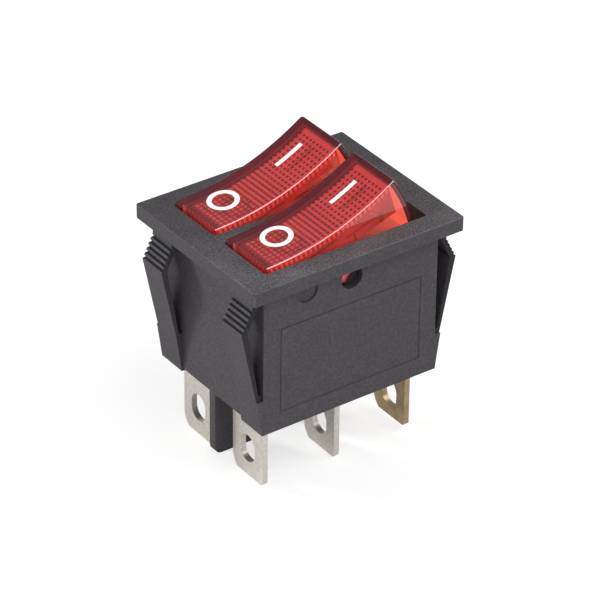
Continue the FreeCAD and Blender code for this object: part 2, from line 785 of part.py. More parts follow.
def closed_contact():
    """Where the moving button's face comes to when the pole closes."""
    reach = bar_tab / 2
    x = -bar_long_arm - reach
    z = bar_end_height() + reach * tangent(bar_tilt)
    ahead, up = cosine(bar_tilt), sine(bar_tilt)
    return blade_shift + x * ahead - z * up, z * ahead + x * up - knife_drop - contact_height


def add_blade(body, label, tip):
    """Ends a blade: bevelled tip, wire hole and shoulders on the floor."""

    def tip_edge(edge):
        box = edge.BoundBox
        return along(edge, 0) and near(box.ZMin, -tip) and box.YMin < 0

    dress(body, "Chamfer", label + "_tip", blade_chamfer, tip_edge)
    sketch = new_sketch(body, "YZ_Plane", label + "_slant_outline")
    half = blade_width / 2
    draw_outline(sketch, [
        (half - blade_slant_width, -tip), (half, -tip),
        (half, blade_slant_height - tip, blade_slant_radius, -1)])
    pocket(body, label + "_slant", sketch, blade_thickness * 2, midplane=True)

    def lead_edge(edge):
        return along(edge, 1) and near(edge.BoundBox.ZMin, -tip)

    dress(body, "Chamfer", label + "_lead", blade_lead, lead_edge)
    sketch = new_sketch(body, "YZ_Plane", label + "_hole_outline")
    draw_slot(sketch, sized(0), -blade_hole_drop, blade_hole_width, blade_hole_height)
    pocket(body, label + "_hole", sketch, blade_thickness * 2, midplane=True)
    sketch = new_sketch(body, "YZ_Plane", label + "_shoulder_outline")
    draw_box(sketch, -shoulder_width / 2, shoulder_width / 2,
             -cavity_depth, shoulder_height - cavity_depth)
    pad(body, label + "_shoulders", sketch, blade_thickness, midplane=True)


def make_common_terminal(name, row):
    """Middle blade; its top is the knife edge that the bar rocks on."""
    label = "common_terminal_" + name
    body = new_body(label)
    half = blade_width / 2
    sketch = new_sketch(body, "YZ_Plane", label + "_outline")
    draw_outline(sketch, [
        (-half, -blade_tip), (half, -blade_tip),
        (half, ear_rise - knife_drop), (half - ear_width, ear_rise - knife_drop),
        (half - ear_width, -knife_drop), (ear_width - half, -knife_drop),
        (ear_width - half, ear_rise - knife_drop), (-half, ear_rise - knife_drop)])
    pad(body, label + "_strip", sketch, blade_thickness, midplane=True)

    def knife_edge(edge):
        return along(edge, 1) and near(edge.BoundBox.ZMin, -knife_drop)

    dress(body, "Chamfer", label + "_knife", knife_chamfer, knife_edge)
    add_blade(body, label, blade_tip)
    place(body, blade_x["common"], row * pole_offset, 0)


def make_bent_terminal(label, row, x, tip, shelf_top, reach, side):
    """End blade whose top is bent over into a shelf."""
    body = new_body(label)
    half = blade_thickness / 2
    sketch = new_sketch(body, "XZ_Plane", label + "_outline")
    draw_outline(sketch, [
        (-side * half, -tip), (side * half, -tip),
        (side * half, shelf_top - blade_thickness), (side * (half + reach), shelf_top - blade_thickness),
        (side * (half + reach), shelf_top), (-side * half, shelf_top)])
    pad(body, label + "_strip", sketch, blade_width, midplane=True)

    def inner_bend(edge):
        box = edge.BoundBox
        return along(edge, 1) and near(box.ZMin, shelf_top - blade_thickness) and near(box.XMin, side * half)

    def outer_bend(edge):
        box = edge.BoundBox
        return along(edge, 1) and near(box.ZMin, shelf_top) and near(box.XMin, -side * half)

    dress(body, "Fillet", label + "_inner_bend", blade_bend, inner_bend)
    dress(body, "Fillet", label + "_outer_bend", blade_bend + blade_thickness * 0.9, outer_bend)
    add_blade(body, label, tip)
    place(body, x, row * pole_offset, 0)


def make_terminals(name, row):
    x, face = closed_contact()
    shelf = face - contact_gap - contact_height
    make_bent_terminal("line_terminal_" + name, row, blade_x["line"], blade_tip, shelf, shelf_reach, 1)
    make_common_terminal(name, row)
    make_bent_terminal("lamp_terminal_" + name, row, blade_x["lamp"], blade_tip_short,
                       -lamp_shelf_drop, lamp_shelf_reach, -1)
    button = new_body("fixed_contact_" + name)
    turned(button, "fixed_button_" + name, contact_profile())
    place(button, x, row * pole_offset, shelf)


make_housing()
for pole, pole_row in POLES:
    make_rocker(pole, pole_row)
    make_diffuser(pole, pole_row)
    make_carrier(pole, pole_row)
    make_plunger(pole, pole_row)
    make_springs(pole, pole_row)
    make_cell("lamp_" + pole, lamp_radius, lamp_inner, lamp_outer, pole_row, 1)
    make_cell("resistor_" + pole, resistor_radius, resistor_inner, resistor_outer, pole_row, -1)
    make_contact_bar(pole, pole_row)
    make_moving_contact(pole, pole_row)
    make_terminals(pole, pole_row)

doc.recompute()
os.makedirs("parts", exist_ok=True)
for item in doc.Objects:
    if "Invalid" in item.State or "Error" in item.State:
        raise RuntimeError("%s did not build" % item.Name)
bodies = [item for item in doc.Objects if item.TypeId in ("PartDesign::Body", "Part::Feature")]
for item in bodies:
    if item.Shape.isNull() or not item.Shape.isValid():
        raise RuntimeError("%s has no valid shape" % item.Label)
    item.Shape.exportStep("parts/%s.step" % item.Label)
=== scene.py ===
import math

import bmesh
import bpy
from mathutils import Matrix, Vector


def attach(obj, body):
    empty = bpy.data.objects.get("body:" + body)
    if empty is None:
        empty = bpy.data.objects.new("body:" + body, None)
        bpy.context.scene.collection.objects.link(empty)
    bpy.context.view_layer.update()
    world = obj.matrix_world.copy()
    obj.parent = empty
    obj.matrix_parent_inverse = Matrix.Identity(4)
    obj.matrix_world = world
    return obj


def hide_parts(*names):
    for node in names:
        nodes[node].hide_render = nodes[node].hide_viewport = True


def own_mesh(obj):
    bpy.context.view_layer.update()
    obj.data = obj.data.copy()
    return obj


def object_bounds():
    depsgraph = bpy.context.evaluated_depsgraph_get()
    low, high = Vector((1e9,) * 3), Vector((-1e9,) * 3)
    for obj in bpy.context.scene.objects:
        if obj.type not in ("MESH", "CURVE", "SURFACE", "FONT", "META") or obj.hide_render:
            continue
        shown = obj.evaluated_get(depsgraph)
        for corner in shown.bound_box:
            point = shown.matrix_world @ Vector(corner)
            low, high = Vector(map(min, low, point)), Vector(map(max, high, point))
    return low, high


# Dressing of the double illuminated rocker switch. Metres, Z up.
# X runs along the rockers, Y across them, and Z = 0 is the panel's outer face.

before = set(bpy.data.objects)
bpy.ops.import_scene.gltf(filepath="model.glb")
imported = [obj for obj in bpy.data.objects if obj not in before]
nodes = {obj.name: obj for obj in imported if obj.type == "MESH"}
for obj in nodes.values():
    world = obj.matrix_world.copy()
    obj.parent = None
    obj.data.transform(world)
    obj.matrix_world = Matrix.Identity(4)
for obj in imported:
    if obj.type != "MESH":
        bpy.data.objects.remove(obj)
cad_low, cad_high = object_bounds()

MM = 0.001
POLES = (("near", -1), ("far", 1))

# A rocker in its own frame, as in the solids: the origin on its pivot, X
# along it, Z out of its concave top
POLE_OFFSET = 5.35 * MM
PIVOT_DROP = 2.1 * MM
ROCKER_TILT = math.radians(17.5)
TOP_HALF = 9.85 * MM
TOP_SAG = 1.45 * MM
TOP_HEIGHT = 7.95 * MM
TOP_RADIUS = (TOP_HALF ** 2 + TOP_SAG ** 2) / (2 * TOP_SAG)
TOP_CENTRE = TOP_HEIGHT - TOP_SAG + TOP_RADIUS
SHELL_TOP = 0.6 * MM
SHELL_GAP = 0.05 * MM
SHELL_SIDE = 3.5 * MM
PIVOT_FACE = 4.22 * MM
HOLLOW_FOOT_HALF = 10.3 * MM
HOLLOW_TOP_HALF = 9.35 * MM
HOLLOW_END_BULGE = 0.27 * MM

# The diffuser's block and what is laid on it, in the same frame
BLOCK_HALF = 9.25 * MM
BLOCK_SIDE = 3.45 * MM
BLOCK_SINK = 0.1 * MM
BLOCK_INSET = 0.15 * MM
BLOCK_DEPTH = SHELL_TOP + SHELL_GAP + BLOCK_SINK
CELL_PITCH = 0.7 * MM
LID_START, LID_END = -8.95 * MM, 9.12 * MM
LID_FAR_SIDE = 3.0 * MM
LID_SINK, LID_RISE = 0.04 * MM, 0.01 * MM
RIM_START, RIM_END = -9.1 * MM, 9.34 * MM
RIM_FAR_SIDE = 3.495 * MM
RIM_BITE = 0.005 * MM
LINES_START, LINES_END = LID_START + 0.1 * MM, -2.8 * MM
LINE_HALF, LINE_RISE = 0.09 * MM, 0.03 * MM
RIB_HALF = 0.19 * MM
RIB_DROP = 0.85 * MM
END_RIB_DROP = 1.8 * RIB_DROP
RIB_SINK = 0.02 * MM
RIB_FACE, RIB_FOOT = 0.04 * MM, 0.18 * MM
FRAME_FACE = 0.07 * MM
SKIRT_SIDE = 3.4 * MM

# The housing, in the object's frame
LABEL_HALF = 10.6 * MM
LABEL_LOW, LABEL_HIGH = -17.7 * MM, -5.5 * MM
LABEL_DEPTH = 0.12 * MM
LABEL_SEEN_DEPTH = 0.08 * MM
CASE_SIDE = 10.85 * MM
BEZEL_SHOULDER = 1.6 * MM
EDGE_BEVEL = 0.1 * MM
SHORTEST_EDGE = 1.5 * MM
TEETH_LOW, TEETH_HIGH = -4.8 * MM, -1.75 * MM
TEETH_INNER = 14.0 * MM
TEETH_LEAN = Vector((0.9, 0.44))
TEETH_FACE = 12.19 * MM
TEETH_GROOVE = TEETH_FACE - 0.12 * MM
STRIP_WIDTH = 0.12 * MM
FLOOR_HEIGHT = cad_low[2] - 0.02 * MM
FLOOR_HALF = 3.0

# The photograph's own perspective
CAMERA_PLACE = (-0.221185, -0.306654, 0.229793)
CAMERA_RIGHT = Vector((0.8141556, -0.58057503, 0.0091263))
CAMERA_UP = Vector((0.30563903, 0.44186355, 0.84341057))
CAMERA_BACK = Vector((-0.4936957, -0.68387808, 0.53719207))
CAMERA_LENS = 218.89

WORLD_LIGHT = 0.38
WORLD_TINT = (1.0, 0.99, 0.985, 1.0)


# Camera and lamps

def into_scene(thing):
    """Puts an object into the scene."""
    bpy.context.scene.collection.objects.link(thing)
    return thing


def set_camera():
    data = bpy.data.cameras.new("camera")
    data.sensor_width = 36.0
    data.lens = CAMERA_LENS
    data.clip_start = 0.01
    data.clip_end = 20.0
    camera = into_scene(bpy.data.objects.new("camera", data))
    turn = Matrix((CAMERA_RIGHT, CAMERA_UP, CAMERA_BACK)).transposed().to_4x4()
    camera.matrix_world = Matrix.Translation(CAMERA_PLACE) @ turn
    bpy.context.scene.camera = camera


def add_sun(name, towards, strength, softness):
    """A distant lamp that shines from the direction towards."""
    data = bpy.data.lights.new(name, "SUN")
    data.energy = strength
    data.angle = math.radians(softness)
    lamp = into_scene(bpy.data.objects.new(name, data))
    lamp.rotation_euler = Vector(towards).to_track_quat("Z", "Y").to_euler()


def add_softbox(name, place, width, height, radiance):
    """A flat lamp at a place, facing the object."""
    data = bpy.data.lights.new(name, "AREA")
    data.shape = "RECTANGLE"
    data.size = width
    data.size_y = height
    data.energy = radiance * width * height * math.pi
    lamp = into_scene(bpy.data.objects.new(name, data))
    lamp.location = place
    lamp.rotation_euler = Vector(place).to_track_quat("Z", "Y").to_euler()


def set_lamps():
    """A soft key from behind, a large fill box and a white surround that
    lights less than it shows."""
    add_sun("key", (-0.485, 0.806, 0.34), 2.2, 12)
    add_softbox("fill", (0.42, -0.72, 0.92), 1.7, 0.8, 2.45)
    world = bpy.data.worlds.new("studio")
    bpy.context.scene.world = world
    world.use_nodes = True
    wire = Wiring(world.node_tree)
    backdrop = world.node_tree.nodes["Background"]
    backdrop.inputs["Color"].default_value = WORLD_TINT
    path = wire.add("ShaderNodeLightPath")
    shown = wire.math("MULTIPLY", path.outputs["Is Camera Ray"], 1.0 - WORLD_LIGHT)
    wire.set(backdrop, "Strength", wire.math("ADD", shown, WORLD_LIGHT))
    bpy.context.scene.view_settings.view_transform = "Standard"


# Node helpers

def new_material(name):
    material = bpy.data.materials.new(name)
    material.use_nodes = True
    material.node_tree.nodes.clear()
    output = material.node_tree.nodes.new("ShaderNodeOutputMaterial")
    return material, Wiring(material.node_tree), output


class Wiring:
    """Adds nodes to a tree and links them by socket name."""

    def __init__(self, tree):
        self.tree = tree

    def add(self, kind, **inputs):
        """A new node, its sockets named with _ for a space."""
        node = self.tree.nodes.new(kind)
        for key, value in inputs.items():
            self.set(node, key.replace("_", " "), value)
        return node

    def set(self, node, key, value):
        socket = node.inputs[int(key)] if key.isdigit() else node.inputs[key]
        if isinstance(value, bpy.types.NodeSocket):
            self.tree.links.new(value, socket)
        elif isinstance(value, (tuple, list)) and len(value) == 3 and socket.type == "RGBA":
            socket.default_value = (*value, 1.0)
        else:
            socket.default_value = value

    def math(self, operation, first, second):
        node = self.tree.nodes.new("ShaderNodeMath")
        node.operation = operation
        self.set(node, "0", first)
        self.set(node, "1", second)
        return node.outputs[0]

    def mix(self, factor, first, second):
        node = self.tree.nodes.new("ShaderNodeMix")
        node.data_type = "RGBA"
        self.set(node, "0", factor)
        self.set(node, "6", first)
        self.set(node, "7", second)
        return node.outputs[2]

    def ramp(self, value, low, high):
        node = self.tree.nodes.new("ShaderNodeMapRange")
        self.set(node, "0", value)
        self.set(node, "1", low)
        self.set(node, "2", high)
        return node.outputs[0]

    def blend(self, factor, first, second):
        """Mixes two shaders."""
        node = self.tree.nodes.new("ShaderNodeMixShader")
        self.set(node, "0", factor)
        self.set(node, "1", first.outputs[0])
        self.set(node, "2", second.outputs[0])
        return node

    def sum(self, first, second):
        """Adds two shaders."""
        node = self.tree.nodes.new("ShaderNodeAddShader")
        self.set(node, "0", first.outputs[0])
        self.set(node, "1", second.outputs[0])
        return node

    def painted_glow(self, shader, tone, strength):
        """Paints a glow: lets a shader shine in its own tone, though it is no lamp."""
        self.set(shader, "Emission Color", tone)
        shader.inputs["Emission Strength"].default_value = strength

    def along(self, axis, low, high):
        """0 to 1 between two places on an axis of the object."""
        split = self.add("ShaderNodeSeparateXYZ", Vector=self.place())
        return self.ramp(split.outputs[axis], low, high)

    def place(self):
        return self.tree.nodes.new("ShaderNodeTexCoord").outputs["Object"]

    def group(self, tree, **inputs):
        node = self.tree.nodes.new("ShaderNodeGroup")
        node.node_tree = tree
        for key, value in inputs.items():
            self.set(node, key.replace("_", " "), value)
        return node


def new_group(name, inputs, outputs):
    """An empty shader group that takes and gives numbers."""
    tree = bpy.data.node_groups.new(name, "ShaderNodeTree")
    for key, value in inputs.items():
        socket = tree.interface.new_socket(key, in_out="INPUT", socket_type="NodeSocketFloat")
        socket.default_value = value
    for key in outputs:
        tree.interface.new_socket(key, in_out="OUTPUT", socket_type="NodeSocketFloat")
    entry = tree.nodes.new("NodeGroupInput")
    leave = tree.nodes.new("NodeGroupOutput")
    return tree, Wiring(tree), entry.outputs, leave.inputs


def make_spark_grain():
    """Spark-eroded mould skin: sandy height, light specks and soft patches."""
    tree, wire, given, result = new_group(
        "spark_grain", {"Grain per metre": 3600.0, "Patch per metre": 260.0},
        ("Height", "Specks", "Patches", "Mottle"))
    place = wire.place()
    sand = wire.add("ShaderNodeTexNoise", Vector=place, Scale=given["Grain per metre"],
                    Detail=3.0, Roughness=0.65)
    pits = wire.add("ShaderNodeTexVoronoi", Vector=place,
                    Scale=given["Grain per metre"])
    height = wire.math("ADD", wire.math("MULTIPLY", sand.outputs["Fac"], 0.7),
                       wire.math("MULTIPLY", pits.outputs["Distance"], 0.3))
    flecks = wire.add("ShaderNodeTexVoronoi", Vector=place,
                      Scale=wire.math("MULTIPLY", given["Grain per metre"], 0.5))
    near_fleck = wire.ramp(flecks.outputs["Distance"], 0.26, 0.12)
    chosen = wire.ramp(flecks.outputs["Color"], 0.52, 0.62)
    mottle_scale = wire.math("MULTIPLY", given["Grain per metre"], 0.8)
    mottle = wire.add("ShaderNodeTexNoise", Vector=place, Scale=mottle_scale, Detail=2.0,
                      Roughness=0.6)
    patch = wire.add("ShaderNodeTexNoise", Vector=place, Scale=given["Patch per metre"],
                     Detail=3.0)
    links = tree.links
    links.new(height, result["Height"])
    links.new(wire.math("MULTIPLY", near_fleck, chosen), result["Specks"])
    links.new(wire.ramp(patch.outputs["Fac"], 0.3, 0.7), result["Patches"])
    links.new(wire.ramp(mottle.outputs["Fac"], 0.32, 0.68), result["Mottle"])
    return tree


def make_rolled_metal():
    """Rolled strip: fine lines across the blade, dull blotches, grain."""
    tree, wire, given, result = new_group(
        "rolled_metal", {"Blotch per metre": 700.0, "Line per metre": 9000.0},
        ("Height", "Blotches", "Lines"))
    place = wire.place()
    stretch = wire.add("ShaderNodeMapping", Vector=place)
    stretch.inputs["Scale"].default_value = (1.0, 1.0, 0.06)
    lines = wire.add("ShaderNodeTexNoise", Vector=stretch.outputs[0],
                     Scale=given["Line per metre"], Detail=2.0)
    blotch = wire.add("ShaderNodeTexNoise", Vector=place, Scale=given["Blotch per metre"],
                      Detail=4.0, Roughness=0.6)
    fine = wire.add("ShaderNodeTexNoise", Vector=place,
                    Scale=wire.math("MULTIPLY", given["Line per metre"], 0.8), Detail=1.0)
    height = wire.math("ADD", wire.math("MULTIPLY", lines.outputs["Fac"], 0.5),
                       wire.math("MULTIPLY", fine.outputs["Fac"], 0.5))
    tree.links.new(height, result["Height"])
    tree.links.new(wire.ramp(blotch.outputs["Fac"], 0.35, 0.68), result["Blotches"])
    tree.links.new(wire.ramp(lines.outputs["Fac"], 0.3, 0.7), result["Lines"])
    return tree


spark_grain = make_spark_grain()
rolled_metal = make_rolled_metal()


# Finishes

def moulded_plastic(name, dark, light, speck, roughness, depth, grain=3600.0, lit_front=False):
    """Opaque moulded plastic with a spark-eroded skin. One lit at the front is
    paler and has more flecks towards -Y: painted light on the front."""
    material, wire, output = new_material(name)
    skin = wire.group(spark_grain, Grain_per_metre=grain)
    shade = wire.math("ADD", wire.math("MULTIPLY", skin.outputs["Mottle"], 0.7),
                      wire.math("MULTIPLY", skin.outputs["Patches"], 0.3))
    flecks = wire.math("MULTIPLY", skin.outputs["Specks"], 0.5)
    # Painted light: paler and more flecked towards the -Y front
    if lit_front:
        front = wire.along("Y", 4 * MM, -11 * MM)
        flecks = wire.math("MULTIPLY", flecks, wire.math("ADD", front, 0.6))
        shade = wire.math("MULTIPLY", shade, wire.math("ADD", wire.math(
            "MULTIPLY", front, 0.6), 0.45))
    tone = wire.mix(shade, dark, light)
    tone = wire.mix(flecks, tone, speck)
    bump = wire.add("ShaderNodeBump", Height=skin.outputs["Height"], Strength=1.0, Distance=depth)
    gloss = wire.math("ADD", wire.math("MULTIPLY", skin.outputs["Patches"], 0.08), roughness)
    shader = wire.add("ShaderNodeBsdfPrincipled", Base_Color=tone, Roughness=gloss,
                      Normal=bump.outputs[0])
    shader.inputs["Specular IOR Level"].default_value = 0.4
    wire.set(output, "Surface", shader.outputs[0])
    return material


def strip_metal(name, bright, dull, roughness, depth=2.0e-6, blotch=700.0):
    """Plated or bare strip metal."""
    material, wire, output = new_material(name)
    skin = wire.group(rolled_metal, Blotch_per_metre=blotch)
    tone = wire.mix(skin.outputs["Blotches"], bright, dull)
    tone = wire.mix(wire.math("MULTIPLY", skin.outputs["Lines"], 0.25), tone, dull)
    rough = wire.math("ADD", wire.math("MULTIPLY", skin.outputs["Blotches"], 0.14), roughness)
    bump = wire.add("ShaderNodeBump", Height=skin.outputs["Height"], Strength=0.6, Distance=depth)
    shader = wire.add("ShaderNodeBsdfPrincipled", Base_Color=tone, Roughness=rough,
                      Metallic=1.0, Normal=bump.outputs[0])
    wire.set(output, "Surface", shader.outputs[0])
    return material


def clear_red_skin(name, least_gloss=0.0, shine=1.0):
    """Outer faces of the clear red rocker. Seen from inside the plastic a
    face is painted dark, a painted shade for where the real one mirrors light down its own wall."""
    material, wire, output = new_material(name)
    skin = wire.group(spark_grain, Grain_per_metre=1500.0, Patch_per_metre=180.0)
    patches = skin.outputs["Patches"]
    path = wire.add("ShaderNodeLightPath")
    to_camera = path.outputs["Is Camera Ray"]
    seen = wire.mix(patches, (0.92, 0.175, 0.145), (0.95, 0.2, 0.17))
    tint = wire.mix(to_camera, (0.94, 0.76, 0.74), seen)
    ripple = wire.add("ShaderNodeBump", Height=patches, Strength=0.12, Distance=2.0e-5)
    clear = wire.add("ShaderNodeBsdfTransparent", Color=tint)
    mirror = wire.add("ShaderNodeBsdfGlossy", Color=(1.0, 1.0, 1.0), Roughness=0.06,
                      Normal=ripple.outputs[0])
    fresnel = wire.add("ShaderNodeFresnel", IOR=1.49, Normal=ripple.outputs[0])
    inside = wire.add("ShaderNodeNewGeometry").outputs["Backfacing"]
    gloss = wire.math("MAXIMUM", wire.math("MULTIPLY", fresnel.outputs[0], shine), least_gloss)
    outer_gloss = wire.math("MULTIPLY", gloss, wire.math("SUBTRACT", 1.0, inside))
    front = wire.blend(outer_gloss, clear, mirror)
    painted_wall_shade = wire.add("ShaderNodeBsdfDiffuse", Color=wire.mix(
        patches, (0.14, 0.075, 0.2), (0.18, 0.095, 0.25)))
    whole = wire.blend(wire.math("MULTIPLY", inside, to_camera), front, painted_wall_shade)
    wire.set(output, "Surface", whole.outputs[0])
    return material


def rocker_inner_wall():
    """Inner faces of the rocker's walls: clear from within the plastic, and
    orange with a painted glow where they are seen across the hollow."""
    material, wire, output = new_material("rocker_inner_wall")
    skin = wire.group(spark_grain, Grain_per_metre=2500.0, Patch_per_metre=300.0)
    tone = wire.mix(skin.outputs["Patches"], (0.88, 0.62, 0.46), (0.94, 0.7, 0.52))
    clear = wire.add("ShaderNodeBsdfTransparent", Color=(1.0, 1.0, 1.0))
    matt = wire.add("ShaderNodeBsdfDiffuse", Color=tone)
    passed = wire.add("ShaderNodeBsdfTranslucent", Color=tone)
    painted_inner_glow = wire.add("ShaderNodeEmission", Color=tone, Strength=0.46)
    bright = wire.sum(wire.blend(0.5, matt, passed), painted_inner_glow)
    path = wire.add("ShaderNodeLightPath")
    geometry = wire.add("ShaderNodeNewGeometry")
    across = wire.math("MULTIPLY", wire.math("SUBTRACT", 1.0, geometry.outputs["Backfacing"]),
                       wire.math("SUBTRACT", 1.0, path.outputs["Is Shadow Ray"]))
    wire.set(output, "Surface", wire.blend(across, clear, bright).outputs[0])
    return material


def pivot_red():
    """The rocker's pivot as it shows in the side hole: lit on the upper
    -X part, dark on the rest."""
    material, wire, output = new_material("pivot_red")
    skin = wire.group(spark_grain, Grain_per_metre=2500.0, Patch_per_metre=900.0)
    split = wire.add("ShaderNodeSeparateXYZ", Vector=wire.place())
    rise = wire.math("ADD", split.outputs["Z"], PIVOT_DROP)
    lean = wire.math("SUBTRACT", split.outputs["X"], rise)
    ragged = wire.math("MULTIPLY", skin.outputs["Patches"], 0.3 * MM)
    lit = wire.ramp(wire.math("ADD", lean, ragged), 0.2 * MM, -0.7 * MM)
    tone = wire.mix(lit, (0.012, 0.006, 0.008), (0.55, 0.075, 0.1))
    shader = wire.add("ShaderNodeBsdfPrincipled", Base_Color=tone, Roughness=0.35)
    shader.inputs["Specular IOR Level"].default_value = 0.12
    wire.painted_glow(shader, tone, 0.5)
    wire.set(output, "Surface", shader.outputs[0])
    return material


def clear_inner_roof():
    """Underside of the rocker's top: it only passes light."""
    material, wire, output = new_material("clear_inner_roof")
    skin = wire.group(spark_grain, Grain_per_metre=1500.0)
    clear = wire.add("ShaderNodeBsdfTransparent", Color=wire.mix(
        skin.outputs["Patches"], (0.97, 0.97, 0.97), (1.0, 1.0, 1.0)))
    wire.set(output, "Surface", clear.outputs[0])
    return material


def tinted_moulding(name, dark, light, roughness, depth, grain=2600.0, painted_glow=0.0):
    """Coloured translucent moulding, with an optional painted glow in its own tone."""
    material, wire, output = new_material(name)
    skin = wire.group(spark_grain, Grain_per_metre=grain, Patch_per_metre=420.0)
    tone = wire.mix(skin.outputs["Patches"], dark, light)
    bump = wire.add("ShaderNodeBump", Height=skin.outputs["Height"], Strength=0.5, Distance=depth)
    shader = wire.add("ShaderNodeBsdfPrincipled", Base_Color=tone, Normal=bump.outputs[0],
                      Roughness=roughness)
    if painted_glow:
        wire.painted_glow(shader, tone, painted_glow)
    wire.set(output, "Surface", shader.outputs[0])
    return material


def diffuser_base():
    """The waffle's lid: paler and pinker towards -X."""
    material, wire, output = new_material("diffuser_base")
    skin = wire.group(spark_grain, Grain_per_metre=2600.0, Patch_per_metre=420.0)
    tone = wire.mix(wire.along("X", -8 * MM, 6 * MM), (0.78, 0.47, 0.56), (0.68, 0.29, 0.37))
    tone = wire.mix(wire.math("MULTIPLY", skin.outputs["Patches"], 0.3), tone, (0.6, 0.33, 0.43))
    bump = wire.add("ShaderNodeBump", Height=skin.outputs["Height"], Strength=0.5, Distance=1e-5)
    shader = wire.add("ShaderNodeBsdfPrincipled", Base_Color=tone, Roughness=0.5,
                      Normal=bump.outputs[0])
    # Painted glow: the lid shines a little in its own tone
    wire.painted_glow(shader, tone, 0.05)
    wire.set(output, "Surface", shader.outputs[0])
    return material


def painted_pit_shade():
    """Painted shade for the hollows between the diffuser's ribs, darker towards +X."""
    material, wire, output = new_material("painted_pit_shade")
    skin = wire.group(spark_grain, Grain_per_metre=2600.0, Patch_per_metre=420.0)
    tone = wire.mix(wire.along("X", -9 * MM, 4 * MM), (0.36, 0.19, 0.27), (0.17, 0.08, 0.13))
    tone = wire.mix(wire.math("MULTIPLY", skin.outputs["Patches"], 0.3), tone, (0.4, 0.18, 0.22))
    shader = wire.add("ShaderNodeBsdfPrincipled", Base_Color=tone, Roughness=0.5)
    wire.set(output, "Surface", shader.outputs[0])
    return material


def lamp_envelope():
    material, wire, output = new_material("lamp_envelope")
    skin = wire.group(spark_grain, Grain_per_metre=1200.0, Patch_per_metre=500.0)
    tone = wire.mix(skin.outputs["Patches"], (0.85, 0.78, 0.7), (0.95, 0.9, 0.84))
    shader = wire.add("ShaderNodeBsdfPrincipled", Base_Color=tone, Roughness=0.08)
    shader.inputs["Coat Weight"].default_value = 0.6
    wire.set(output, "Surface", shader.outputs[0])
    return material


def studio_floor():
    """Pale floor: white to the camera, with the object's shadow kept."""
    material, wire, output = new_material("studio_floor")
    soft = wire.add("ShaderNodeTexNoise", Vector=wire.place(), Scale=18.0, Detail=2.0)

    def matt(dark, light):
        tone = wire.mix(soft.outputs["Fac"], (dark, dark, dark), (light, light, light))
        return wire.add("ShaderNodeBsdfDiffuse", Color=tone)

    lift = wire.add("ShaderNodeEmission", Color=(1.0, 1.0, 1.0), Strength=0.62)
    path = wire.add("ShaderNodeLightPath")
    seen = wire.math("MAXIMUM", path.outputs["Is Camera Ray"],
                     path.outputs["Is Transmission Ray"])
    whole = wire.blend(seen, matt(0.88, 0.9), wire.sum(matt(0.54, 0.56), lift))
    wire.set(output, "Surface", whole.outputs[0])
    return material


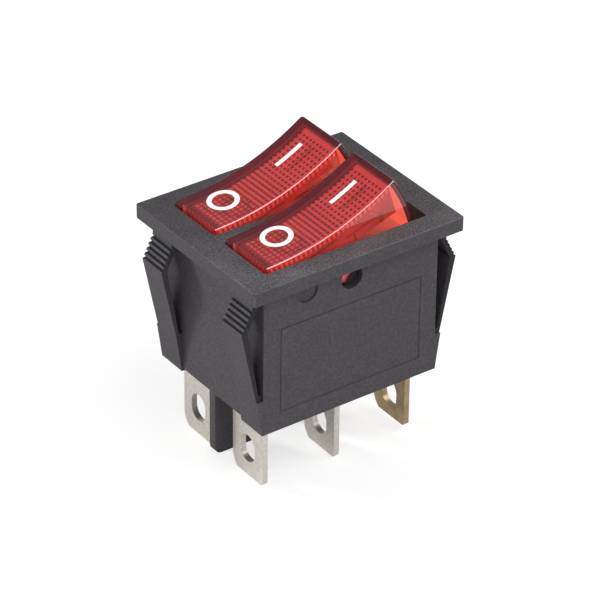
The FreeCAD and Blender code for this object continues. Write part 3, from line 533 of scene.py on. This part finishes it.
# Every glow in these finishes is painted: the moulding shines in its own tone though it is no lamp
FINISHES = {
    "housing_black": moulded_plastic("housing_black", (0.048, 0.043, 0.051), (0.088, 0.082, 0.092),
                                     (0.16, 0.155, 0.162), 0.62, 2.4e-5, grain=4200.0),
    # The bezel top and the broken edges carry painted light, paler towards -Y
    "bezel_black": moulded_plastic("bezel_black", (0.022, 0.018, 0.023), (0.18, 0.172, 0.184),
                                   (0.26, 0.25, 0.26), 0.6, 6.0e-5, grain=4600.0, lit_front=True),
    # Painted shade for the grooves between the grip teeth
    "groove_shade_black": moulded_plastic("groove_shade_black", (0.014, 0.012, 0.015), (0.024, 0.022, 0.026),
                                    (0.05, 0.048, 0.05), 0.7, 2.0e-5),
    # Painted highlight: a paler, glossier black for the broken edges and the bezel's near top
    # fillet
    "edge_highlight_black": moulded_plastic("edge_highlight_black", (0.065, 0.06, 0.067), (0.15, 0.145, 0.152),
                                  (0.3, 0.29, 0.3), 0.45, 4.0e-5, lit_front=True),
    "clear_red": clear_red_skin("clear_red_skin"),
    "clear_red_side": clear_red_skin("clear_red_side", 0.125),
    "clear_red_rim": clear_red_skin("clear_red_rim", 0.22),
    "clear_red_corner": clear_red_skin("clear_red_corner", shine=0.35),
    "pivot_red": pivot_red(),
    "inner_wall": rocker_inner_wall(),
    "inner_roof": clear_inner_roof(),
    "diffuser_base": diffuser_base(),
    # Painted shade: dark maroon for the block's top and the rim past the lid
    "diffuser_painted_shade": tinted_moulding("diffuser_painted_shade", (0.16, 0.05, 0.09), (0.21, 0.07, 0.12),
                                      0.5, 1e-5),
    "painted_pit_shade": painted_pit_shade(),
    "diffuser_rib": tinted_moulding("diffuser_rib", (0.62, 0.29, 0.36), (0.7, 0.33, 0.4),
                                    0.45, 1e-5, painted_glow=0.08),
    "diffuser_side": tinted_moulding("diffuser_side", (0.33, 0.14, 0.17), (0.46, 0.19, 0.2),
                                     0.45, 1e-5, painted_glow=0.05),
    # Painted shade: a darker diffuser tone for the -X end faces, the end ribs and the blind
    "diffuser_end_shade": tinted_moulding("diffuser_end_shade", (0.36, 0.11, 0.19), (0.44, 0.14, 0.22),
                                    0.45, 1e-5),
    "skirt_orange": tinted_moulding("skirt_orange", (0.8, 0.62, 0.46), (0.88, 0.68, 0.5),
                                    0.45, 1e-5, painted_glow=0.35),
    "lamp_frame": tinted_moulding("lamp_frame", (0.26, 0.09, 0.1), (0.3, 0.11, 0.11),
                                  0.5, 1e-5),
    "carrier_white": tinted_moulding("carrier_white", (0.8, 0.76, 0.7), (0.88, 0.85, 0.8),
                                     0.45, 6e-6),
    "mark_white": tinted_moulding("mark_white", (0.92, 0.92, 0.92), (0.96, 0.96, 0.96),
                                  0.5, 3e-6, painted_glow=0.15),
    "lamp_glass": lamp_envelope(),
    "resistor_body": moulded_plastic("resistor_body", (0.55, 0.38, 0.2), (0.65, 0.46, 0.26),
                                     (0.75, 0.6, 0.4), 0.45, 8e-6),
    "spring_steel": strip_metal("spring_steel", (0.62, 0.62, 0.63), (0.42, 0.42, 0.43), 0.25),
    "plunger_brass": strip_metal("plunger_brass", (0.80, 0.62, 0.32), (0.6, 0.44, 0.2), 0.25),
    "bar_copper": strip_metal("bar_copper", (0.82, 0.46, 0.30), (0.58, 0.3, 0.18), 0.3),
    "contact_silver": strip_metal("contact_silver", (0.86, 0.85, 0.82), (0.66, 0.65, 0.62), 0.28),
    "terminal_tin": strip_metal("terminal_tin", (0.94, 0.90, 0.83), (0.74, 0.71, 0.65), 0.38,
                                blotch=2600.0),
    "terminal_brass": strip_metal("terminal_brass", (0.60, 0.47, 0.29), (0.42, 0.32, 0.19), 0.36),
}

CAD_FINISH = {
    "housing": "housing_black", "rocker": "clear_red", "diffuser": "diffuser_side",
    "carrier": "carrier_white", "plunger": "plunger_brass", "plunger_spring": "spring_steel",
    "lamp_spring": "spring_steel", "lamp": "lamp_glass", "resistor": "resistor_body",
    "contact_bar": "bar_copper", "moving_contact": "contact_silver",
    "fixed_contact": "contact_silver", "line_terminal": "terminal_tin",
    "common_terminal": "terminal_tin", "lamp_terminal": "terminal_brass",
}


def dress_solids():
    """Gives each node of the solids its finish."""
    for name, node in nodes.items():
        kind = name.rsplit("_", 1)[0] if name.endswith(("_near", "_far")) else name
        finish = FINISHES[CAD_FINISH[kind]]
        node.data.materials.clear()
        node.data.materials.append(finish)


# Meshes

def rocker_seat(row):
    """From a rocker's own frame, its origin on the pivot, to the object's."""
    return (Matrix.Translation((0.0, row * POLE_OFFSET, -PIVOT_DROP))
            @ Matrix.Rotation(-ROCKER_TILT, 4, "Y"))


def new_piece(name, bm, finishes):
    """An object of a bmesh, which is used up, with its finishes in order."""
    mesh = bpy.data.meshes.new(name)
    bm.to_mesh(mesh)
    bm.free()
    piece = into_scene(bpy.data.objects.new(name, mesh))
    for finish in finishes:
        mesh.materials.append(FINISHES[finish])
    return piece


def new_solid(name, bm, finishes):
    """A closed piece, its faces turned outwards."""
    bmesh.ops.recalc_face_normals(bm, faces=bm.faces)
    return new_piece(name, bm, finishes)


def welded(node):
    """A copy of a node's mesh with its loose triangles joined and flat
    faces made whole."""
    bm = bmesh.new()
    bm.from_mesh(nodes[node].data)
    bmesh.ops.remove_doubles(bm, verts=bm.verts, dist=2e-6)
    bmesh.ops.dissolve_limit(bm, angle_limit=math.radians(0.5), verts=bm.verts, edges=bm.edges)
    bm.normal_update()
    return bm


def soften(bm, wanted, width):
    """Rounds the sharp edges that wanted() picks."""
    edges = [edge for edge in bm.edges if len(edge.link_faces) == 2
             and edge.calc_face_angle(0.0) > math.radians(35) and wanted(edge)]
    bmesh.ops.bevel(bm, geom=edges, offset=width, segments=2, profile=0.5,
                    affect="EDGES", clamp_overlap=True)
    bm.normal_update()


def smooth(piece, angle):
    """Smooth shading but for edges sharper than an angle in degrees."""
    piece.data.shade_smooth()
    piece.data.set_sharp_from_angle(angle=math.radians(angle))
    even = piece.modifiers.new("even_normals", "WEIGHTED_NORMAL")
    even.keep_sharp = True


def over_top(x, y, height):
    """Point over a rocker's concave top, x and y along and across it."""
    radius = TOP_RADIUS - height
    angle = x / TOP_RADIUS
    return Vector((radius * math.sin(angle), y, TOP_CENTRE - radius * math.cos(angle)))


def hollow_roof(x):
    """Height of the underside of a rocker's top."""
    radius = TOP_RADIUS + SHELL_TOP
    return TOP_CENTRE - math.sqrt(radius * radius - x * x)


def in_hollow(place, slack):
    """True for a place, in the rocker's frame, on the walls of its hollow."""
    share = min(max(place.z / hollow_roof(HOLLOW_TOP_HALF), 0.0), 1.0)
    end = (HOLLOW_FOOT_HALF + (HOLLOW_TOP_HALF - HOLLOW_FOOT_HALF) * share
           + HOLLOW_END_BULGE * 4 * share * (1 - share))
    return (abs(place.y) < SHELL_SIDE + slack and abs(place.x) < end + slack
            and place.z < hollow_roof(min(abs(place.x), HOLLOW_TOP_HALF)) + slack)


SHELL_FINISHES = ("clear_red", "inner_wall", "inner_roof", "clear_red_rim",
                  "clear_red_side", "pivot_red", "clear_red_corner")


def shell_finish(place, normal):
    """The finish of a shell's face, from its place and normal in the
    rocker's frame."""
    if in_hollow(place, 0.1 * MM):
        return "inner_roof" if normal.z < -0.7 else "inner_wall"
    if abs(place.y) > PIVOT_FACE:
        return "pivot_red"
    if (max(normal.z, abs(normal.x), abs(normal.y)) < 0.93 and normal.y < -0.25
            and normal.x > -0.3 and normal.z > 0.2):
        return "clear_red_rim"
    if abs(normal.y) > 0.985:
        return "clear_red_side"
    if abs(normal.y) > 0.1 and abs(normal.x) > 0.1:
        return "clear_red_corner"
    return "clear_red"


def make_rocker_shell(pole, row):
    """The clear shell: the solid's own faces, with the outer faces, the
    rounded rim, the walls and the roof of the hollow finished apart."""
    bm = welded("rocker_" + pole)
    back = rocker_seat(row).inverted()
    for face in bm.faces:
        finish = shell_finish(back @ face.calc_center_median(), back.to_3x3() @ face.normal)
        face.material_index = SHELL_FINISHES.index(finish)
    shell = new_piece("rocker_shell_" + pole, bm, SHELL_FINISHES)
    smooth(shell, 40)
    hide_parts("rocker_" + pole)
    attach(shell, "rocker_" + pole)


def annulus_mark(bm, seat, x, y, outer, inner, low, high, steps=72):
    """A printed ring over a rocker's top, low and high its two faces."""
    rings = []
    for (half_x, half_y), height in ((outer, low), (outer, high), (inner, high), (inner, low)):
        ring = []
        for step in range(steps):
            angle = 2 * math.pi * step / steps
            point = over_top(x + half_x * math.cos(angle), y + half_y * math.sin(angle), height)
            ring.append(bm.verts.new(seat @ point))
        rings.append(ring)
    for place in range(4):
        first, second = rings[place], rings[(place + 1) % 4]
        for step in range(steps):
            after = (step + 1) % steps
            bm.faces.new((first[step], first[after], second[after], second[step]))


def bar_mark(bm, seat, x_low, x_high, y_low, y_high, low, high, steps=14):
    """A bar bent along a rocker's top, low and high its two faces."""
    rows = []
    section = ((y_low, low), (y_high, low), (y_high, high), (y_low, high))
    for step in range(steps + 1):
        x = x_low + (x_high - x_low) * step / steps
        rows.append([bm.verts.new(seat @ over_top(x, y, height)) for y, height in section])
    for first, second in zip(rows, rows[1:]):
        for place in range(4):
            after = (place + 1) % 4
            bm.faces.new((first[place], first[after], second[after], second[place]))
    bm.faces.new(rows[0])
    bm.faces.new(reversed(rows[-1]))


# Where each rocker's ring is centred, and its bar's two ends and middle,
# in millimetres along and across the top
MARK_PLACES = {
    "near": {"ring": (-5.02, 0.5), "bar": (2.97, 7.1, 0.27)},
    "far": {"ring": (-5.46, 0.42), "bar": (2.77, 6.97, 0.6)},
}
RING_OUTER = (2.03 * MM, 2.08 * MM)
RING_INNER = (1.4 * MM, 1.42 * MM)
BAR_HALF = 0.29
MARK_FACES = (-0.015 * MM, 0.02 * MM)


def make_marks(pole, row):
    """The white I and O printed on a rocker."""
    seat = rocker_seat(row)
    ring_x, ring_y = MARK_PLACES[pole]["ring"]
    bar_low, bar_high, bar_y = MARK_PLACES[pole]["bar"]
    bm = bmesh.new()
    annulus_mark(bm, seat, ring_x * MM, ring_y * MM, RING_OUTER, RING_INNER, *MARK_FACES)
    bar_mark(bm, seat, bar_low * MM, bar_high * MM, (bar_y - BAR_HALF) * MM,
             (bar_y + BAR_HALF) * MM, *MARK_FACES)
    marks = new_solid("marks_" + pole, bm, ("mark_white",))
    smooth(marks, 40)
    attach(marks, "rocker_" + pole)


def make_plunger_coil(pole):
    """The plunger's spring as a smooth piece of its own, carried with the rocker."""
    bm = bmesh.new()
    bm.from_mesh(nodes["plunger_spring_" + pole].data)
    bmesh.ops.remove_doubles(bm, verts=bm.verts, dist=1e-6)
    coil = new_piece("plunger_coil_" + pole, bm, ("spring_steel",))
    coil.data.shade_smooth()
    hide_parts("plunger_spring_" + pole)
    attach(coil, "rocker_" + pole)
    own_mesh(coil)


# What the geometry nodes take, kind and value of each socket. The seat and
# the finish are set for each rocker. Between the squares' start and the
# stripes' end the cells widen across the rocker.
CELL_INPUTS = {
    "Along": ("Int", 25), "Across": ("Int", 9), "Pitch": ("Float", CELL_PITCH),
    "Cell Foot": ("Float", 0.36 * MM), "Cell Top": ("Float", 0.3 * MM),
    "Cell Height": ("Float", 0.06 * MM), "Stripe Width": ("Float", 1.75),
    "Stripes End": ("Float", 0.5 * MM), "Squares Start": ("Float", 3.5 * MM),
    "Radius": ("Float", TOP_RADIUS + BLOCK_DEPTH), "Centre Height": ("Float", TOP_CENTRE),
    "Tilt": ("Float", ROCKER_TILT), "Seat": ("Vector", (0.0, 0.0, 0.0)),
    "Finish": ("Material", None),
}


def make_cell_tree():
    """Geometry nodes: a field of cells laid over the diffuser's top, which
    are squares towards +X and widen into stripes towards -X."""
    tree = bpy.data.node_groups.new("diffuser_cells", "GeometryNodeTree")
    face = tree.interface
    face.new_socket("Geometry", in_out="OUTPUT", socket_type="NodeSocketGeometry")
    names = {}
    for key, (kind, value) in CELL_INPUTS.items():
        socket = face.new_socket(key, in_out="INPUT", socket_type="NodeSocket" + kind)
        if value is not None:
            socket.default_value = value
        names[key] = socket.identifier
    add, link = tree.nodes.new, tree.links.new
    entry, leave = add("NodeGroupInput").outputs, add("NodeGroupOutput").inputs

    def calc(operation, first, second=None):
        node = add("ShaderNodeMath")
        node.operation = operation
        for place, value in enumerate((first, second)):
            if isinstance(value, bpy.types.NodeSocket):
                link(value, node.inputs[place])
            elif value is not None:
                node.inputs[place].default_value = value
        return node.outputs[0]

    # One flat square cell on each point of a grid, wider across in the stripes
    field = add("GeometryNodeMeshGrid")
    link(entry["Along"], field.inputs["Vertices X"])
    link(entry["Across"], field.inputs["Vertices Y"])
    link(calc("MULTIPLY", calc("SUBTRACT", entry["Along"], 1.0), entry["Pitch"]),
         field.inputs["Size X"])
    link(calc("MULTIPLY", calc("SUBTRACT", entry["Across"], 1.0), entry["Pitch"]),
         field.inputs["Size Y"])
    cell = add("GeometryNodeMeshCone")
    cell.inputs["Vertices"].default_value = 4
    link(calc("MULTIPLY", entry["Cell Top"], math.sqrt(0.5)), cell.inputs["Radius Top"])
    link(calc("MULTIPLY", entry["Cell Foot"], math.sqrt(0.5)), cell.inputs["Radius Bottom"])
    link(entry["Cell Height"], cell.inputs["Depth"])
    square = add("GeometryNodeTransform")
    link(cell.outputs["Mesh"], square.inputs["Geometry"])
    square.inputs["Rotation"].default_value = (0.0, 0.0, math.radians(45))
    points = add("ShaderNodeSeparateXYZ")
    link(add("GeometryNodeInputPosition").outputs[0], points.inputs[0])
    widen = add("ShaderNodeMapRange")
    for place, value in enumerate((points.outputs["X"], entry["Stripes End"],
                                   entry["Squares Start"], entry["Stripe Width"])):
        link(value, widen.inputs[place])
    widen.inputs[4].default_value = 1.0
    shape = add("ShaderNodeCombineXYZ")
    shape.inputs["X"].default_value = 1.0
    link(widen.outputs[0], shape.inputs["Y"])
    shape.inputs["Z"].default_value = 1.0
    spread = add("GeometryNodeInstanceOnPoints")
    link(field.outputs["Mesh"], spread.inputs["Points"])
    link(square.outputs["Geometry"], spread.inputs["Instance"])
    link(shape.outputs[0], spread.inputs["Scale"])
    solid = add("GeometryNodeRealizeInstances")
    link(spread.outputs[0], solid.inputs[0])

    # Bent along the arc of the top, tilted with the rocker and seated
    split = add("ShaderNodeSeparateXYZ")
    link(add("GeometryNodeInputPosition").outputs[0], split.inputs[0])
    angle = calc("DIVIDE", split.outputs["X"], entry["Radius"])
    reach = calc("SUBTRACT", entry["Radius"], split.outputs["Z"])
    along = calc("MULTIPLY", reach, calc("SINE", angle))
    rise = calc("SUBTRACT", entry["Centre Height"], calc("MULTIPLY", reach, calc("COSINE", angle)))
    cosine, sine = calc("COSINE", entry["Tilt"]), calc("SINE", entry["Tilt"])
    turned = add("ShaderNodeCombineXYZ")
    link(calc("SUBTRACT", calc("MULTIPLY", along, cosine), calc("MULTIPLY", rise, sine)),
         turned.inputs["X"])
    link(split.outputs["Y"], turned.inputs["Y"])
    link(calc("ADD", calc("MULTIPLY", along, sine), calc("MULTIPLY", rise, cosine)),
         turned.inputs["Z"])
    seated = add("ShaderNodeVectorMath")
    seated.operation = "ADD"
    link(turned.outputs[0], seated.inputs[0])
    link(entry["Seat"], seated.inputs[1])
    moved = add("GeometryNodeSetPosition")
    link(solid.outputs[0], moved.inputs["Geometry"])
    link(seated.outputs[0], moved.inputs["Position"])
    whole = add("GeometryNodeRealizeInstances")
    link(moved.outputs[0], whole.inputs[0])
    finish = add("GeometryNodeSetMaterial")
    link(whole.outputs[0], finish.inputs["Geometry"])
    link(entry["Finish"], finish.inputs["Material"])
    link(finish.outputs[0], leave["Geometry"])
    return tree, names


cell_tree, cell_sockets = make_cell_tree()


def make_lid(pole, row):
    """The pale top of a diffuser, which carries its waffle."""
    bm = bmesh.new()
    bar_mark(bm, rocker_seat(row), LID_START, LID_END, -BLOCK_SIDE, LID_FAR_SIDE,
             -BLOCK_DEPTH - LID_SINK, LID_RISE - BLOCK_DEPTH, 40)
    lid = new_solid("diffuser_lid_" + pole, bm, ("diffuser_base",))
    smooth(lid, 30)
    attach(lid, "rocker_" + pole)


def make_rim(pole, row):
    """A dark rim of painted shade beyond the lid's far side and +X end."""
    seat = rocker_seat(row)
    faces = (-BLOCK_DEPTH, RIM_BITE - SHELL_TOP)
    bm = bmesh.new()
    bar_mark(bm, seat, RIM_START, RIM_END, LID_FAR_SIDE, RIM_FAR_SIDE, *faces, 40)
    bar_mark(bm, seat, LID_END, RIM_END, -BLOCK_SIDE, LID_FAR_SIDE, *faces, 2)
    rim = new_solid("diffuser_rim_" + pole, bm, ("diffuser_painted_shade",))
    smooth(rim, 30)
    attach(rim, "rocker_" + pole)


def make_lines(pole, row):
    """Dark lines of painted shade along the lid's -X end, which cut the stripes
    there into a lattice."""
    bm = bmesh.new()
    for step in range(-4, 5):
        y = step * CELL_PITCH
        end = LINES_END - abs(step % 2) * CELL_PITCH
        bar_mark(bm, rocker_seat(row), LINES_START, end, y - LINE_HALF, y + LINE_HALF,
                 -BLOCK_DEPTH, LINE_RISE - BLOCK_DEPTH, 16)
    lines = new_solid("diffuser_lines_" + pole, bm, ("painted_pit_shade",))
    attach(lines, "rocker_" + pole)


def make_cells(pole, row):
    """The waffle's dark cells, painted shade for its pits, from the geometry nodes."""
    source = "cells_source_" + pole
    holder = into_scene(bpy.data.objects.new(source, bpy.data.meshes.new(source)))
    maker = holder.modifiers.new("cells", "NODES")
    maker.node_group = cell_tree
    values = {key: value for key, (_, value) in CELL_INPUTS.items()}
    values["Seat"] = (0.0, row * POLE_OFFSET, -PIVOT_DROP)
    values["Finish"] = FINISHES["painted_pit_shade"]
    for key, value in values.items():
        maker[cell_sockets[key]] = value
    graph = bpy.context.evaluated_depsgraph_get()
    mesh = bpy.data.meshes.new_from_object(holder.evaluated_get(graph))
    bpy.data.objects.remove(holder)
    cells = into_scene(bpy.data.objects.new("diffuser_cells_" + pole, mesh))
    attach(cells, "rocker_" + pole)


BLOCK_FINISHES = ("diffuser_side", "diffuser_painted_shade", "diffuser_end_shade")


def make_diffuser_block(pole, row):
    """The diffuser with its top lowered to the feet of the cells and its
    sides drawn in to the feet of the ribs."""
    bm = welded("diffuser_" + pole)
    seat = rocker_seat(row)
    back = seat.inverted()
    top = set()
    for face in bm.faces:
        normal = back.to_3x3() @ face.normal
        # The block's top gets painted shade
        if normal.z > 0.8 and (back @ face.calc_center_median()).z > 4 * MM:
            face.material_index = BLOCK_FINISHES.index("diffuser_painted_shade")
            top.update(face.verts)
        # The -X end faces get the painted end shade
        elif normal.x < -0.8:
            face.material_index = BLOCK_FINISHES.index("diffuser_end_shade")
    slack = 0.02 * MM
    for vertex in bm.verts:
        place = back @ vertex.co
        if vertex in top:
            place.z -= BLOCK_SINK
        if place.y < slack - BLOCK_SIDE:
            place.y += BLOCK_INSET
        if place.x < slack - BLOCK_HALF:
            place.x += BLOCK_INSET
        vertex.co = seat @ place
    block = new_piece("diffuser_block_" + pole, bm, BLOCK_FINISHES)
    smooth(block, 30)
    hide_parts("diffuser_" + pole)
    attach(block, "rocker_" + pole)


def block_top(x):
    """Height of the lowered top of a diffuser's block."""
    radius = TOP_RADIUS + BLOCK_DEPTH
    return TOP_CENTRE - math.sqrt(radius * radius - x * x)


def add_prism(bm, seat, corners, y_low, y_high):
    """A flat bar from y_low to y_high, corners its outline along and up."""
    near_ring = [bm.verts.new(seat @ Vector((x, y_low, z))) for x, z in corners]
    far_ring = [bm.verts.new(seat @ Vector((x, y_high, z))) for x, z in corners]
    bm.faces.new(near_ring)
    bm.faces.new(reversed(far_ring))
    for place in range(len(corners)):
        after = (place + 1) % len(corners)
        bm.faces.new((near_ring[after], near_ring[place], far_ring[place], far_ring[after]))


# Outlines along and up a rocker, in millimetres: a blind of painted shade that shuts off the view
# past the -X end of the diffuser, and the lip under its +X end
BLIND = ((-9.05, 0.6), (-10.28, 0.6), (-10.09, 3.5), (-9.75, 5.5), (-9.37, 7.1), (-9.05, 7.1))
BLIND_SIDES = (2.95 * MM, 3.49 * MM)
SKIRT = ((9.3, 0.3), (10.22, 0.3), (10.21, 0.42), (9.3, 0.42))


def to_metres(outline):
    """An outline in millimetres, in metres."""
    return [(x * MM, z * MM) for x, z in outline]


def make_ribs(pole, row):
    """Upright ribs along the diffuser's near side and -X end, under its
    waffle top."""
    seat = rocker_seat(row)
    bm = bmesh.new()
    for step in range(-13, 13):
        x = (step + 0.5) * CELL_PITCH
        low, high = x - RIB_HALF, x + RIB_HALF
        top = block_top(abs(x) + RIB_HALF) - RIB_SINK
        foot = top - RIB_DROP
        corners = ((low, foot), (high, foot), (high, top), (low, top))
        add_prism(bm, seat, corners, -BLOCK_SIDE + RIB_FACE, -BLOCK_SIDE + RIB_FOOT)
    side_faces = set(bm.faces)
    low, high = -BLOCK_HALF + RIB_FACE, -BLOCK_HALF + RIB_FOOT
    top = block_top(BLOCK_HALF - BLOCK_INSET) - RIB_SINK
    foot = top - END_RIB_DROP
    corners = ((low, foot), (high, foot), (high, top), (low, top))
    for step in range(-4, 4):
        y = (step + 0.5) * CELL_PITCH
        add_prism(bm, seat, corners, y - RIB_HALF, y + RIB_HALF)
    # A dark blind of painted shade past the diffuser's -X end; the end ribs take the same shade
    add_prism(bm, seat, to_metres(BLIND), *BLIND_SIDES)
    for face in bm.faces:
        if face not in side_faces:
            face.material_index = 1
    ribs = new_solid("diffuser_ribs_" + pole, bm, ("diffuser_rib", "diffuser_end_shade"))
    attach(ribs, "rocker_" + pole)


def make_skirt(pole, row):
    """A lip that closes the slot between the lamp carrier and the
    rocker's +X end wall, pale orange with a painted glow."""
    bm = bmesh.new()
    add_prism(bm, rocker_seat(row), to_metres(SKIRT), -SKIRT_SIDE, SKIRT_SIDE)
    skirt = new_solid("diffuser_skirt_" + pole, bm, ("skirt_orange",))
    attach(skirt, "rocker_" + pole)


# The lamp's rail and posts and one lead, outlines along and up a rocker,
# in millimetres
RAIL_BARS = (
    ((1.9, 3.75), (7.45, 3.75), (7.45, 3.87), (1.9, 3.87)),
    ((6.85, 2.65), (7.45, 2.65), (7.45, 3.7), (6.85, 3.7)),
    ((2.97, 2.65), (3.13, 2.65), (3.13, 3.7), (2.97, 3.7)),
    ((-5.3, 4.4), (0.6, 4.4), (0.6, 4.5), (-5.3, 4.5)),
)
LEAD_BAR = ((6.5, 4.0), (6.62, 4.05), (5.92, 5.1), (5.8, 5.05))


def make_lamp_frame(pole, row):
    """Rail and posts that hold the lamp, and one of its leads, as they show
    through the rocker's side."""
    seat = rocker_seat(row)
    for name, bars, finish in (("lamp_frame_", RAIL_BARS, "lamp_frame"),
                               ("lamp_lead_", (LEAD_BAR,), "diffuser_rib")):
        bm = bmesh.new()
        for bar in bars:
            add_prism(bm, seat, to_metres(bar), -BLOCK_SIDE + FRAME_FACE, -BLOCK_SIDE + RIB_FOOT)
        piece = new_solid(name + pole, bm, (finish,))
        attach(piece, "rocker_" + pole)


def on_teeth(place):
    """True for a place on the grip teeth of the snap wings."""
    return abs(place.x) > TEETH_INNER and TEETH_LOW < place.z < TEETH_HIGH


def on_label(place):
    """True for a place in the label frame on either side of the case."""
    return (abs(place.x) < LABEL_HALF and LABEL_LOW < place.z < LABEL_HIGH
            and abs(abs(place.y) - CASE_SIDE) < 0.2 * MM)


def on_long_edge(edge):
    """True for the case's long outer edges, windows and teeth left out."""
    first, second = (vertex.co for vertex in edge.verts)
    middle = (first + second) / 2
    return (edge.is_convex and (first - second).length > SHORTEST_EDGE
            and abs(middle.y) + abs(middle.x) > 6 * MM
            and not on_teeth(middle) and not on_label(middle))


HOUSING_FINISHES = ("housing_black", "bezel_black", "edge_highlight_black", "groove_shade_black")


def housing_finish(face):
    """The finish of one of the housing's faces, by where it is."""
    middle, normal = face.calc_center_median(), face.normal
    # The bezel's near top fillet gets the painted edge highlight
    if middle.z > BEZEL_SHOULDER and normal.z > 0.25:
        return "edge_highlight_black" if normal.z < 0.92 and normal.y < -0.1 else "bezel_black"
    # Painted shade on the teeth's up-facing treads and deep grooves
    if on_teeth(middle):
        reach = TEETH_LEAN.dot(Vector((abs(middle.x), middle.z)))
        return "groove_shade_black" if normal.z > 0.95 or reach < TEETH_GROOVE else "housing_black"
    # Thin bevel strips get the painted edge highlight
    longest = max(edge.calc_length() for edge in face.edges)
    if (longest > SHORTEST_EDGE and face.calc_area() < STRIP_WIDTH * longest
            and max(abs(part) for part in normal) < 0.95):
        return "edge_highlight_black"
    return "housing_black"


def make_housing_skin():
    """The housing with its long outer edges broken and a shallow label line."""
    bm = welded("housing")
    for vertex in bm.verts:
        sunk = abs(abs(vertex.co.y) - CASE_SIDE + LABEL_DEPTH) < 0.01 * MM
        if sunk and on_label(vertex.co):
            vertex.co.y = math.copysign(CASE_SIDE - LABEL_SEEN_DEPTH, vertex.co.y)
    bm.normal_update()
    soften(bm, on_long_edge, EDGE_BEVEL)
    for face in bm.faces:
        face.material_index = HOUSING_FINISHES.index(housing_finish(face))
    skin = new_piece("housing_skin", bm, HOUSING_FINISHES)
    smooth(skin, 35)
    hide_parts("housing")
    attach(skin, "housing")


def make_floor():
    """A wide sheet just under the part, which catches its shadow."""
    bm = bmesh.new()
    bm.faces.new([bm.verts.new((x * FLOOR_HALF, y * FLOOR_HALF, FLOOR_HEIGHT))
                  for x, y in ((-1, -1), (1, -1), (1, 1), (-1, 1))])
    floor = new_piece("studio_floor", bm, ())
    floor.data.materials.append(studio_floor())


set_camera()
set_lamps()
make_floor()
dress_solids()
make_housing_skin()
for pole, row in POLES:
    make_rocker_shell(pole, row)
    make_diffuser_block(pole, row)
    make_lid(pole, row)
    make_rim(pole, row)
    make_lines(pole, row)
    make_cells(pole, row)
    make_ribs(pole, row)
    make_lamp_frame(pole, row)
    make_skirt(pole, row)
    make_plunger_coil(pole)
    make_marks(pole, row)
